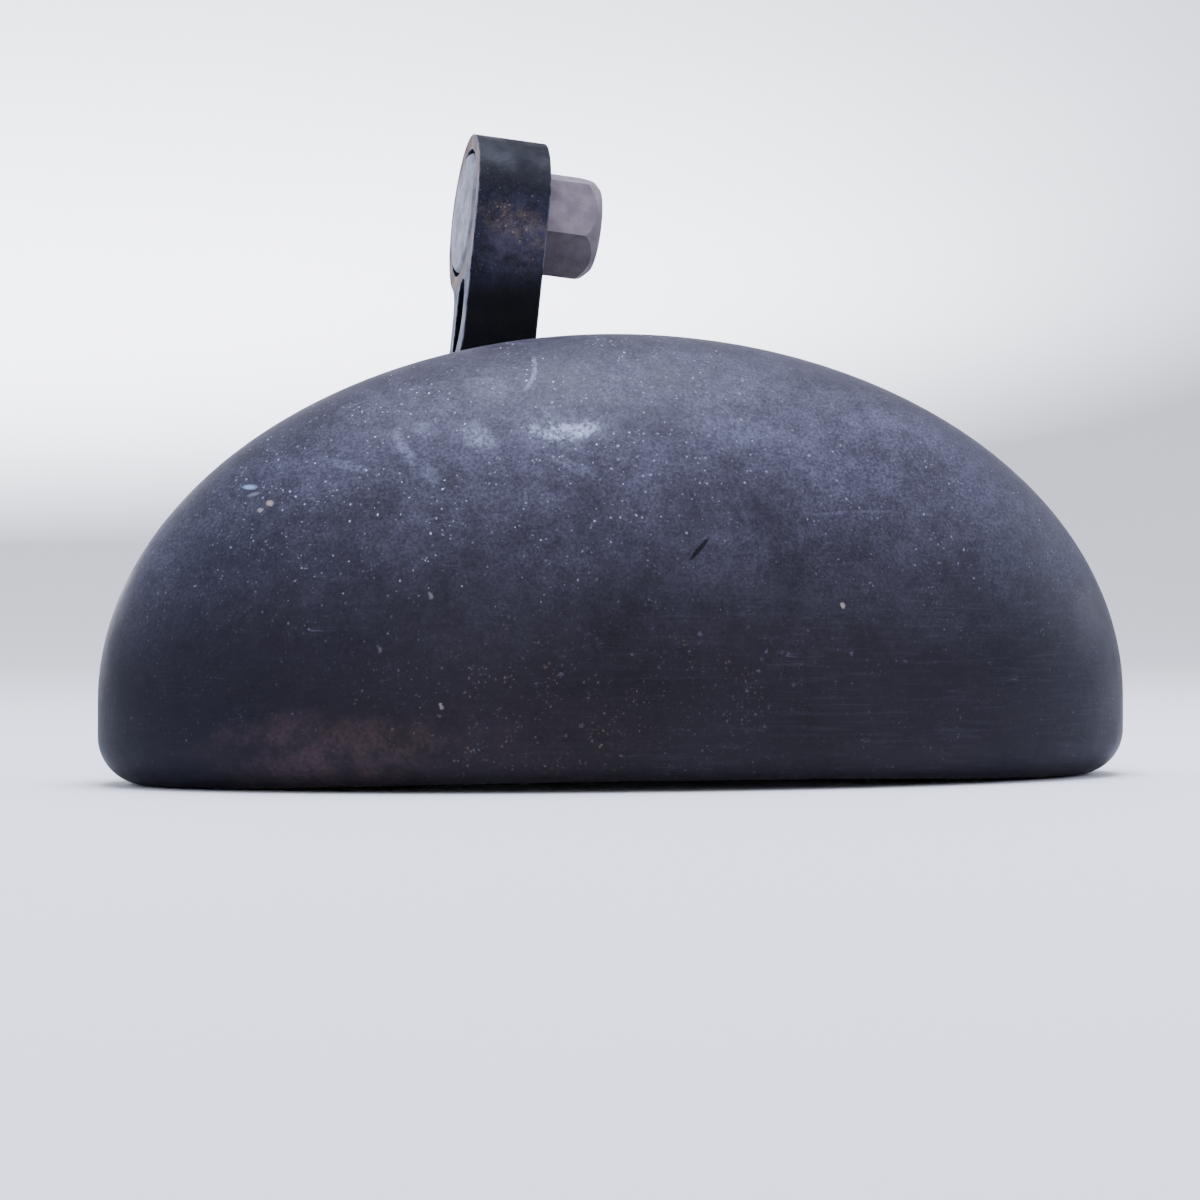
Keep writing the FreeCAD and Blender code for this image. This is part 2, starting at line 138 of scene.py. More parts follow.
class Pattern:
    """Masks from 0 to 1 on a piece's own coordinates, in one material's tree."""

    def __init__(self, tree: bpy.types.NodeTree) -> None:
        """Read the piece's coordinates once, in millimetres."""
        self.tree = tree
        place = add(tree, "TexCoord").outputs["Object"]
        self.mm = add(tree, "VectorMath", {0: place, "Scale": 1 / MM}, operation="SCALE").outputs[0]
        self.axes = add(tree, "SeparateXYZ", {0: self.mm}).outputs
        facing = add(tree, "NewGeometry").outputs["Normal"]
        self.facing = add(tree, "SeparateXYZ", {0: facing}).outputs

    def out(self, kind: str, inputs: Any, **settings: Any) -> bpy.types.NodeSocket:
        """Add a node to this tree and hand back its first output."""
        return add(self.tree, kind, inputs, **settings).outputs[0]

    def off(self, value: Any, target: float) -> bpy.types.NodeSocket:
        """How far a value is from a target, either way."""
        gap = self.out("Math", (value, target), operation="SUBTRACT")
        return self.out("Math", (gap,), operation="ABSOLUTE")

    def both(self, *masks: Any) -> bpy.types.NodeSocket:
        """Multiply masks and strengths together."""
        result = masks[0]
        for mask in masks[1:]:
            result = self.out("Math", (result, mask), operation="MULTIPLY")
        return result

    def ramp(self, value: Any, low: float, high: float, bottom: float = 0.0,
             top: float = 1.0) -> bpy.types.NodeSocket:
        """Rise smoothly from bottom at low to top at high."""
        inputs = {0: value, 1: low, 2: high, 3: bottom, 4: top}
        return self.out("MapRange", inputs, interpolation_type="SMOOTHSTEP")

    def stretched(self, stretch: tuple[float, float, float],
                  turn: float = 0.0) -> bpy.types.NodeSocket:
        """Coordinates turned about Y by degrees and drawn out along the turned axes."""
        spin = (0.0, math.radians(turn), 0.0)
        inputs = {"Vector": self.mm, "Rotation": spin, "Scale": tuple(1 / s for s in stretch)}
        return self.out("Mapping", inputs, vector_type="POINT")

    def shaken(self, size: float, reach: float) -> bpy.types.NodeSocket:
        """Coordinates pushed about by a cloudy field, which makes outlines ragged."""
        inputs = {"Vector": self.mm, "Scale": 1 / size, "Detail": 2.0}
        push = add(self.tree, "TexNoise", inputs).outputs["Color"]
        centred = add(self.tree, "VectorMath", {0: push, 1: (0.5, 0.5, 0.5)}, operation="SUBTRACT")
        scaled = add(self.tree, "VectorMath", {0: centred.outputs[0], "Scale": reach * 2},
                     operation="SCALE")
        return self.out("VectorMath", (self.mm, scaled.outputs[0]))

    def noise(self, size: float, detail: float = 3.0, rough: float = 0.55,
              place: Any = None) -> bpy.types.NodeSocket:
        """Value of a cloudy field whose lumps are about a size across."""
        inputs = {"Vector": place or self.mm, "Scale": 1 / size, "Detail": detail,
                  "Roughness": rough}
        return self.out("TexNoise", inputs)

    def clouds(self, size: float, low: float, high: float, detail: float = 3.0,
               place: Any = None) -> bpy.types.NodeSocket:
        """Mask of soft patches about a size across."""
        return self.ramp(self.noise(size, detail, place=place), low, high)

    def specks(self, grains: Grains) -> bpy.types.NodeSocket:
        """Mask of scattered dots: each cell draws if it has one, how large and how faint."""
        least, faintest, soft = 0.25, 0.3, 0.6
        place = self.shaken(grains.cell * 0.45, grains.cell * grains.shake)
        cells = add(self.tree, "TexVoronoi", {"Vector": place, "Scale": 1 / grains.cell})
        lot = add(self.tree, "SeparateColor", {0: cells.outputs["Color"]}).outputs
        chosen = self.out("Math", (lot[0], grains.share), operation="LESS_THAN")
        size = self.out("Math", (lot[1], grains.dot * (1 - least), grains.dot * least),
                        operation="MULTIPLY_ADD")
        inside = self.out("Math", (size, cells.outputs["Distance"]), operation="SUBTRACT")
        strength = self.out("Math", (lot[2], 1 - faintest, faintest), operation="MULTIPLY_ADD")
        return self.both(chosen, strength, self.ramp(inside, 0.0, grains.dot * soft))

    def spot(self, centre: Vector, radius: float, soft: float) -> bpy.types.NodeSocket:
        """Mask of a ball about a point, fading over its soft outer part."""
        gap = add(self.tree, "VectorMath", {0: self.mm, 1: tuple(centre)}, operation="DISTANCE")
        return self.ramp(gap.outputs["Value"], radius, radius * (1 - soft))

    def patch(self, centre: Vector, half: tuple[float, float], slope: float, soft: float,
              ) -> bpy.types.NodeSocket:
        """Mask of a leaning oval in the upright plane, about a point.

        Args:
            centre: Middle of the oval.
            half: Half of its length and half of its height.
            slope: Turn of its length from level, in degrees.
            soft: Share of its reach over which it fades.

        Returns:
            Mask of the oval, with a ragged outline.
        """
        angle = math.radians(slope)
        place = self.shaken(half[1] * 0.8, half[1] * 0.45)
        shift = add(self.tree, "VectorMath", {0: place, 1: tuple(centre)}, operation="SUBTRACT")
        along = (math.cos(angle) / half[0], 0.0, math.sin(angle) / half[0])
        across = (-math.sin(angle) / half[1], 0.0, math.cos(angle) / half[1])
        squares = []
        for direction in (along, across):
            dot = add(self.tree, "VectorMath", {0: shift.outputs[0], 1: direction},
                      operation="DOT_PRODUCT").outputs["Value"]
            squares.append(self.out("Math", (dot, dot), operation="MULTIPLY"))
        return self.ramp(self.out("Math", tuple(squares), operation="ADD"), 1.0, 1.0 - soft)

    def hook(self, centre: Vector, radius: float, width: float, middle: Vector, reach: float,
             ) -> bpy.types.NodeSocket:
        """Mask of one curved scratch: the part of a ring near a point.

        Args:
            centre: Middle of the ring.
            radius: The ring's radius.
            width: Half of the scratch's width.
            middle: Point that the scratch lies about.
            reach: How far from that point it runs.

        Returns:
            Mask of the scratch, fading towards its ends.
        """
        shift = add(self.tree, "VectorMath", {0: self.mm, 1: tuple(centre)}, operation="SUBTRACT")
        flat = add(self.tree, "VectorMath", {0: shift.outputs[0], 1: (1.0, 0.0, 1.0)},
                   operation="MULTIPLY").outputs[0]
        length = add(self.tree, "VectorMath", {0: flat}, operation="LENGTH").outputs["Value"]
        return self.both(self.ramp(self.off(length, radius), width, width * 0.2),
                         self.spot(middle, reach, 0.45))

    def edges(self, reach: float, low: float = 0.02, high: float = 0.22) -> bpy.types.NodeSocket:
        """Mask of worn corners: where a rounding of a reach would turn the surface."""
        rounded = add(self.tree, "Bevel", {"Radius": reach * MM}, samples=8).outputs[0]
        flat = add(self.tree, "NewGeometry").outputs["Normal"]
        agreement = add(self.tree, "VectorMath", {0: rounded, 1: flat}, operation="DOT_PRODUCT")
        turned = self.out("Math", (1.0, agreement.outputs["Value"]), operation="SUBTRACT")
        return self.ramp(turned, low, high)

    def blend(self, amount: Any, below: Any, above: Any) -> bpy.types.NodeSocket:
        """Lay one colour over another by a mask."""
        colours = [linear(c) if isinstance(c, str) else c for c in (below, above)]
        inputs = {0: amount, 6: colours[0], 7: colours[1]}
        return add(self.tree, "Mix", inputs, data_type="RGBA").outputs[2]

    def bump(self, height: Any, depth: float, under: Any = None) -> bpy.types.NodeSocket:
        """Turn a mask into relief of a depth in millimetres, over another relief."""
        inputs = {"Height": height, "Distance": depth * MM, "Strength": 1.0}
        if under is not None:
            inputs["Normal"] = under
        return self.out("Bump", inputs)


def new_material(name: str) -> tuple[bpy.types.Material, Pattern]:
    """Start an empty node material, with its patterns."""
    material = bpy.data.materials.new(name)
    material.use_nodes = True
    material.node_tree.nodes.clear()
    return material, Pattern(material.node_tree)


def close_material(pattern: Pattern, colour: Any, roughness: Any, normal: Any,
                   metallic: float = 0.0, specular: float = 0.5) -> None:
    """End a material with its shader and output."""
    tree = pattern.tree
    inputs = {"Base Color": colour, "Roughness": roughness, "Normal": normal,
              "Metallic": metallic, "Specular IOR Level": specular}
    shader = add(tree, "BsdfPrincipled", inputs)
    add(tree, "OutputMaterial", {0: shader.outputs[0]})


@dataclass(frozen=True)
class HalfMoonForm:
    """The casting's outer form, which places the marks on it."""

    half_width: float = 71.8
    front_depth: float = 30.0
    crown_y: float = -4.5
    widest_z: float = 11.0
    dome_rise: float = 50.2

    def front(self, x: float, z: float) -> Vector:
        """Point on the rounded front at a width and height."""
        up = max(z - self.widest_z, 0.0) / self.dome_rise
        share = max(1 - (x / self.half_width) ** 2 - up ** 2, 0.0)
        return Vector((x, self.crown_y - self.front_depth * math.sqrt(share), z))


@dataclass(frozen=True)
class WornBluePaint:
    """Satin blue-black paint on cast iron: dusty on top with a painted highlight band, a painted
    bluer reflection at both ends, pale patches, earth-stained low down.
    """

    form: HalfMoonForm = HalfMoonForm()
    deep: str = "#110d11"
    pale: str = "#1a161b"
    navy_sky_reflection: str = "#10131f"
    earth: str = "#4a3639"
    dust: str = "#8a8aa3"
    pale_blue_grey: str = "#a7b0c8"
    grit: str = "#86705f"
    sparkle: str = "#c9cfdd"
    bare_nick: str = "#060609"
    fine_dust: Grains = Grains(0.55, 0.9, 0.36, 0.25)
    coarse_dust: Grains = Grains(0.95, 0.9, 0.26, 0.2)
    bright_dust: Grains = Grains(0.85, 0.95, 0.24, 0.2)
    low_grit: Grains = Grains(0.62, 0.95, 0.42, 0.35)
    faint_grit: Grains = Grains(1.3, 0.9, 0.30, 0.35)
    stains: tuple[Mark, ...] = (
        Mark(-44.0, 5.5, (19.0, 6.0), 2.0, 0.50), Mark(-20.0, 7.0, (20.0, 6.5), 2.0, 0.14))
    pale_marks: tuple[Mark, ...] = (
        Mark(-12.0, 46.6, (5.4, 1.4), 8.0, 0.80), Mark(-10.6, 46.4, (1.3, 0.8), 0.0, 0.95),
        Mark(-16.6, 46.8, (1.2, 1.0), 20.0, 0.45), Mark(-23.8, 45.8, (2.2, 2.8), 60.0, 0.34),
        Mark(-14.5, 48.4, (0.9, 2.3), 20.0, 0.22), Mark(-33.5, 44.5, (1.0, 3.8), 20.0, 0.20),
        Mark(-31.0, 47.0, (1.9, 1.0), 30.0, 0.20), Mark(-12.5, 42.0, (4.8, 0.9), -24.0, 0.14),
        Mark(-40.5, 42.0, (3.6, 0.8), -14.0, 0.15), Mark(-30.5, 41.0, (1.2, 1.9), 40.0, 0.13),
        Mark(9.0, 47.0, (9.0, 2.6), -6.0, 0.10), Mark(-21.5, 53.0, (3.8, 2.5), 10.0, 0.12),
        Mark(-13.0, 46.4, (8.0, 3.0), 6.0, 0.16))
    flecks: tuple[Mark, ...] = (
        Mark(-52.7, 39.3, (1.05, 0.42), 0.0, 0.8, "#7f9cba"),
        Mark(-50.4, 37.1, (0.60, 0.50), 20.0, 0.8, "#a08d85"),
        Mark(-51.6, 36.2, (0.50, 0.34), 30.0, 0.8, "#87837f"),
        Mark(-52.3, 38.3, (1.1, 0.3), 18.0, 0.8, "#666876"),
        Mark(22.8, 23.9, (0.42, 0.5), 0.0, 0.8, "#948a7e"),
        Mark(-31.1, 25.2, (0.42, 0.6), 20.0, 0.8, "#66646b"),
        Mark(-30.0, 11.2, (0.3, 0.6), 20.0, 0.8, "#80766d"),
        Mark(-37.5, 18.3, (0.3, 0.5), 0.0, 0.8, "#4f4e54"))

    def base(self, p: Pattern) -> bpy.types.NodeSocket:
        """Paint itself, with a painted sky reflection that makes it bluer towards both ends."""
        base = p.blend(p.clouds(22.0, 0.35, 0.68), self.deep, self.pale)
        # Painted reflection: towards both ends the paint is tinted navy, standing in for the sky
        # reflected at the rims.
        side = p.ramp(p.out("Math", (p.axes[0],), operation="ABSOLUTE"), 22.0, 70.0)
        return p.blend(p.both(side, p.clouds(26.0, 0.2, 0.7), 0.75), base, self.navy_sky_reflection)

    def dusted(self, p: Pattern, base: Any) -> bpy.types.NodeSocket:
        """Film of pale dust on what faces up, in clouds and in fine grains; the film is also a
        painted highlight band part way up the front.
        """
        # Partly real dust, partly painted highlight: the film peaks on faces tilted part way up and
        # thins on the very top and towards the ends, as a highlight band does.
        up = p.facing[2]
        dust_and_highlight, highlight_top_fade = p.ramp(up, 0.0, 0.64, 0.010, 0.205), p.ramp(up, 0.64, 0.97, 0.0, 0.10)
        film = p.out("Math", (dust_and_highlight, highlight_top_fade), operation="SUBTRACT")
        side = p.out("Math", (p.axes[0],), operation="ABSOLUTE")
        film = p.both(film, p.ramp(side, 18.0, 62.0, 1.0, 0.55))
        cloudy = p.both(p.ramp(p.noise(9.0, 7.0, 0.62), 0.28, 0.72, 0.68, 1.32),
                        p.ramp(p.noise(2.4, 6.0, 0.68), 0.30, 0.70, 0.72, 1.28))
        grain = p.ramp(p.noise(0.40, 3.0, 0.6), 0.32, 0.68, 0.62, 1.42)
        base = p.blend(p.both(film, cloudy, grain), base, self.dust)
        height = p.ramp(up, 0.05, 0.5, 0.18, 1.0)
        fine = p.both(p.specks(self.fine_dust), p.clouds(6.0, 0.30, 0.66, 5.0), height)
        base = p.blend(p.both(fine, 0.42), base, self.dust)
        coarse = p.both(p.specks(self.coarse_dust), p.clouds(11.0, 0.40, 0.62, 3.0), height)
        base = p.blend(p.both(coarse, 0.60), base, self.pale_blue_grey)
        busy = p.out("Math", (p.spot(self.form.front(-26.0, 50.0), 46.0, 0.6), 0.14),
                     operation="MAXIMUM")
        bright = p.both(p.specks(self.bright_dust), p.clouds(5.0, 0.36, 0.56), busy, height)
        return p.blend(bright, base, self.sparkle)

    def drawn(self, p: Pattern, base: Any) -> bpy.types.NodeSocket:
        """Fine level wipe marks, clearest on the right."""
        wipes = p.ramp(p.noise(1.0, 3.0, 0.6, p.stretched((9.0, 4.0, 0.42), 2.0)), 0.50, 0.72)
        right = p.ramp(p.axes[0], -25.0, 25.0, 0.25, 1.0)
        base = p.blend(p.both(wipes, right, 0.022), base, self.dust)
        threads = p.noise(1.0, 1.0, place=p.stretched((6.0, 5.0, 0.8), -4.0))
        thin = p.ramp(p.off(threads, 0.5), 0.010, 0.002)
        return p.blend(p.both(thin, p.clouds(5.0, 0.56, 0.70), 0.06), base, self.pale_blue_grey)

    def soiled(self, p: Pattern, base: Any) -> bpy.types.NodeSocket:
        """Reddish earth low on the left, brown grit across the lower middle."""
        at = self.form.front
        rough = p.ramp(p.noise(0.5, 3.0), 0.3, 0.66, 0.45, 1.0)
        for mark in self.stains:
            stain = p.both(self.placed(p, mark), p.clouds(4.0, 0.26, 0.70, 6.0), rough)
            base = p.blend(p.both(stain, mark.strength), base, self.earth)
        low = p.patch(at(-14.0, 11.0), (38.0, 11.0), 0.0, 0.85)
        grit = p.both(p.specks(self.low_grit), p.clouds(3.2, 0.40, 0.60, 4.0), low)
        base = p.blend(p.both(grit, 0.42), base, self.grit)
        dim = p.both(p.specks(self.faint_grit), p.patch(at(2.0, 17.0), (46.0, 16.0), 0.0, 0.8))
        return p.blend(p.both(dim, p.clouds(6.0, 0.4, 0.6), 0.16), base, self.dust)

    def placed(self, p: Pattern, mark: Mark) -> bpy.types.NodeSocket:
        """Mask of one mark on the rounded front, soft all through."""
        return p.patch(self.form.front(mark.x, mark.z), mark.half, mark.slope, 1.0)

    def marked(self, p: Pattern, base: Any) -> bpy.types.NodeSocket:
        """Pale patches, scratches and flecks, each at its own place on the front."""
        at = self.form.front
        seen = p.ramp(p.axes[1], -4.0, -9.0)
        # Pale patches across the upper front, laid at the listed places and strengths.
        for mark in self.pale_marks:
            broken = p.both(self.placed(p, mark),
                            p.ramp(p.noise(0.5, 5.0, 0.7), 0.40, 0.60, 0.12, 1.0))
            base = p.blend(p.both(broken, seen, mark.strength), base, self.pale_blue_grey)
        bend = p.hook(Vector((-21.8, 0.0, 57.2)), 6.9, 0.42, at(-15.2, 54.6), 4.6)
        base = p.blend(p.both(bend, seen, p.clouds(0.8, 0.25, 0.55), 0.30), base, self.pale_blue_grey)
        sweep = p.hook(Vector((29.0, 0.0, -44.0)), 80.3, 0.30, at(29.0, 36.2), 12.0)
        base = p.blend(p.both(sweep, seen, p.clouds(1.5, 0.36, 0.6), 0.10), base, self.dust)
        nick = p.patch(at(3.6, 31.2), (2.4, 0.34), 47.0, 0.6)
        base = p.blend(p.both(nick, seen, 0.9), base, self.bare_nick)
        for mark in self.flecks:
            base = p.blend(p.both(self.placed(p, mark), seen, mark.strength), base, mark.tint)
        return base

    def build(self) -> bpy.types.Material:
        """Make the material."""
        # Enamel brushed on sand-cast iron: a low satin sheen over a soft unevenness, with
        # chalky dust above, which is also a painted highlight band, and brown grit below.
        # Grains are drawn at 0.4 mm and up, which is coarser than real dust, so that they show.
        material, p = new_material("blue_black_paint_worn_satin")
        colour = self.marked(p, self.soiled(p, self.drawn(p, self.dusted(p, self.base(p)))))
        roughness = p.ramp(p.noise(9.0, 5.0), 0.3, 0.72, 0.44, 0.60)
        drawn = p.noise(1.0, 3.0, place=p.stretched((7.0, 3.0, 0.4), 2.0))
        normal = p.bump(p.noise(17.0, 2.0), 0.16)
        normal = p.bump(p.noise(0.8, 4.0, 0.6), 0.035, normal)
        normal = p.bump(drawn, 0.012, normal)
        close_material(p, colour, roughness, normal, specular=0.12)
        return material


@dataclass(frozen=True)
class ForgedBlackSteel:
    """Blue-black scale on a forging: dusty front, worn light edges, tan dirt by the nut."""

    scale: str = "#12121b"
    sheen: str = "#222436"
    worn: str = "#8b97ad"
    dust: str = "#7f8390"
    tan: str = "#9c8468"
    flank: str = "#4c566a"
    rust: str = "#5a3f30"
    shadow: str = "#020205"
    top_shade_tint: str = "#0a0b11"
    haze: str = "#8a809a"
    fine_dust: Grains = Grains(0.62, 0.95, 0.28, 0.2)
    tan_grit: Grains = Grains(0.55, 0.55, 0.36)
    haze_place: Vector = field(default_factory=lambda: Vector((-12.0, 11.5, 76.0)))
    dirt_place: Vector = field(default_factory=lambda: Vector((-12.0, 11.5, 78.0)))
    eye_centre: Vector = field(default_factory=lambda: Vector((-12.9, 23.0, 80.5)))
    eye_lean: float = 6.0
    shaded_from: float = 73.5
    shaded_to: float = 67.5

    def ring(self, p: Pattern, inner: float, outer: float) -> bpy.types.NodeSocket:
        """Mask of a band about the eye's own axis, between two radii."""
        lean = math.radians(self.eye_lean)
        axis = (math.cos(lean), 0.0, -math.sin(lean))
        shift = add(p.tree, "VectorMath", {0: p.mm, 1: tuple(self.eye_centre)},
                    operation="SUBTRACT").outputs[0]
        sideways = add(p.tree, "VectorMath", {0: shift, 1: axis}, operation="CROSS_PRODUCT")
        radius = add(p.tree, "VectorMath", {0: sideways.outputs[0]}, operation="LENGTH")
        off = p.off(radius.outputs["Value"], (inner + outer) / 2)
        return p.ramp(off, (outer - inner) / 2, (outer - inner) / 5)

    def build(self) -> bpy.types.Material:
        """Make the material."""
        # Drop-forged steel with its blue-black scale left on: near black and dull, with a
        # blue sheen, light rubbed edges and rust round the bolt head.
        material, p = new_material("forged_steel_blue_black")
        colour = p.blend(p.clouds(5.0, 0.38, 0.66, 5.0), self.scale, self.sheen)
        grain = p.clouds(0.5, 0.42, 0.66, 3.0)
        colour = p.blend(p.both(grain, 0.04), colour, self.dust)
        high = p.ramp(p.axes[2], self.shaded_to, self.shaded_from)
        fine = p.both(p.specks(self.fine_dust), p.clouds(3.0, 0.30, 0.58, 4.0), high)
        colour = p.blend(p.both(fine, 0.75), colour, self.dust)
        haze = p.both(p.spot(self.haze_place, 7.5, 0.8), p.clouds(1.6, 0.2, 0.7, 5.0))
        colour = p.blend(p.both(haze, 0.16), colour, self.haze)
        front = p.ramp(p.facing[1], -0.55, -0.85)
        streak = p.both(p.patch(self.dirt_place, (7.5, 3.0), -24.0, 0.9), front)
        film = p.both(streak, p.clouds(1.0, 0.34, 0.68, 5.0), 0.14)
        colour = p.blend(film, colour, self.tan)
        grit = p.both(p.specks(self.tan_grit), streak)
        colour = p.blend(p.both(grit, 0.85), colour, self.tan)
        shade = p.both(p.ramp(p.axes[2], self.shaded_from, self.shaded_to), front)
        colour = p.blend(p.both(shade, 0.95), colour, self.shadow)
        # Painted shade: what faces up on the arm is darkened nearly to black, against the overhead
        # light.
        crown = p.ramp(p.facing[2], 0.0, 0.6)
        colour = p.blend(p.both(crown, 0.88), colour, self.top_shade_tint)
        # Painted reflection: the left-facing flank is painted blue-grey for the sky reflected in
        # it, broken up by a cloudy mask.
        flank = p.ramp(p.facing[0], -0.5, -0.85)
        painted_sky_reflection = p.both(flank, p.ramp(p.noise(2.2, 5.0, 0.65), 0.28, 0.68, 0.35, 1.0))
        colour = p.blend(p.both(painted_sky_reflection, 0.85), colour, self.flank)
        rim = p.both(self.ring(p, 8.2, 11.9), flank, p.clouds(1.3, 0.24, 0.52, 5.0))
        colour = p.blend(p.both(rim, 0.85), colour, self.rust)
        wear = p.both(p.edges(0.5), p.clouds(1.2, 0.34, 0.58, 5.0), p.ramp(p.facing[0], 0.3, -0.2))
        colour = p.blend(p.both(wear, 0.7), colour, self.worn)
        roughness = p.ramp(p.noise(3.0, 5.0), 0.3, 0.75, 0.46, 0.70)
        normal = p.bump(p.noise(3.6, 3.0), 0.14)
        normal = p.bump(p.noise(0.5, 4.0), 0.05, normal)
        close_material(p, colour, roughness, normal, specular=0.1)
        return material


@dataclass(frozen=True)
class WeatheredSteel:
    """Bare or plated steel gone dull: grain, pits, stains and rubbed corners."""

    name: str
    light: str
    dark: str
    stain: str
    rubbed: str
    stain_share: float = 0.4
    metallic: float = 0.35
    roughness: float = 0.5
    pit_depth: float = 0.05
    grain: float = 0.35
    specular: float = 0.4
    underside_shade: float = 0.0
    underside_shade_tint: str = "#2c2a33"
    pits: Grains = Grains(0.8, 0.35, 0.26, 0.4)

    def build(self) -> bpy.types.Material:
        """Make the material."""
        # Metal under a thin grey bloom: soft broad highlights, cloudy tone, small pits.
        material, p = new_material(self.name)
        colour = p.blend(p.clouds(3.4, 0.30, 0.70, 6.0), self.light, self.dark)
        stains = p.clouds(2.0, 0.50, 0.72, 5.0)
        colour = p.blend(p.both(stains, self.stain_share), colour, self.stain)
        colour = p.blend(p.both(p.clouds(self.grain, 0.42, 0.64, 3.0), 0.30), colour, self.dark)
        pits = p.specks(self.pits)
        colour = p.blend(p.both(pits, 0.5), colour, self.stain)
        # Painted shade: faces that turn downward are darkened towards a near-black grey, by the
        # amount given for each steel.
        under = p.ramp(p.facing[2], 0.15, -0.75)
        colour = p.blend(p.both(under, self.underside_shade), colour, self.underside_shade_tint)
        wear = p.both(p.edges(0.45), p.clouds(0.9, 0.34, 0.55, 4.0))
        colour = p.blend(p.both(wear, 0.5), colour, self.rubbed)
        spread = p.ramp(p.noise(1.2, 5.0), 0.3, 0.75, self.roughness - 0.1, self.roughness + 0.14)
        normal = p.bump(p.noise(self.grain, 4.0), self.pit_depth)
        raised = p.out("Math", (1.0, pits), operation="SUBTRACT")
        normal = p.bump(raised, self.pit_depth, normal)
        close_material(p, colour, spread, normal, self.metallic, self.specular)
        return material


def dress(piece: bpy.types.Object, material: bpy.types.Material) -> None:
    """Give a piece or a carried-over node its finish."""
    piece.data.materials.clear()
    piece.data.materials.append(material)


def dress_node(node: str, material: bpy.types.Material) -> None:
    """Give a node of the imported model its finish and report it."""
    dress(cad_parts[node], material)
    LOG.info("%s dressed in %s", node, material.name)


@dataclass
class EasedPiece:
    """A machined or forged piece whose corners are eased, as handling leaves them."""

    node: str
    body: Body
    material_slot: str
    reach: float = 0.3
    steps: int = 2
    corner_angle: float = 32.0
    flat_angle: float = 0.6
    join: float = 0.002
    tidy_join: float = 0.001
    shading_weight: int = 80

    def mesh(self) -> bpy.types.Mesh:
        """Copy the node's mesh, join its loose triangles and bevel its corners."""
        shape = bmesh.new()
        shape.from_mesh(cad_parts[self.node].data)
        bmesh.ops.remove_doubles(shape, verts=shape.verts[:], dist=self.join * MM)
        bmesh.ops.dissolve_limit(shape, angle_limit=math.radians(self.flat_angle),
                                 verts=shape.verts[:], edges=shape.edges[:])
        sharp = math.radians(self.corner_angle)
        corners = [edge for edge in shape.edges
                   if len(edge.link_faces) == 2 and edge.calc_face_angle() > sharp]
        bmesh.ops.bevel(shape, geom=corners, offset=self.reach * MM, offset_type="OFFSET",
                        affect="EDGES", segments=self.steps, profile=0.5, material=-1,
                        clamp_overlap=True)
        bmesh.ops.remove_doubles(shape, verts=shape.verts[:], dist=self.tidy_join * MM)
        data = bpy.data.meshes.new(f"{self.node}_eased")
        shape.to_mesh(data)
        shape.free()
        data.polygons.foreach_set("use_smooth", [True] * len(data.polygons))
        return data

    def build(self, material: bpy.types.Material) -> bpy.types.Object:
        """Make the piece, weigh its shading to the larger faces and put it on its body."""
        piece = bpy.data.objects.new(f"{self.node}_eased", self.mesh())
        bpy.context.scene.collection.objects.link(piece)
        shading = piece.modifiers.new("weighted", "WEIGHTED_NORMAL")
        shading.mode = "FACE_AREA_WITH_ANGLE"
        shading.weight = self.shading_weight
        dress(piece, material)
        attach(piece, self.body.value)
        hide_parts(self.node)
        LOG.info("%s made, %d faces", piece.name, len(piece.data.polygons))
        return piece


@dataclass(frozen=True)
class Lamp:
    """One soft rectangular light: its place, what it faces, its sides, watts and colour."""

    name: str
    place: Place
    aim: Place
    sides: tuple[float, float]
    power: float
    tint: str


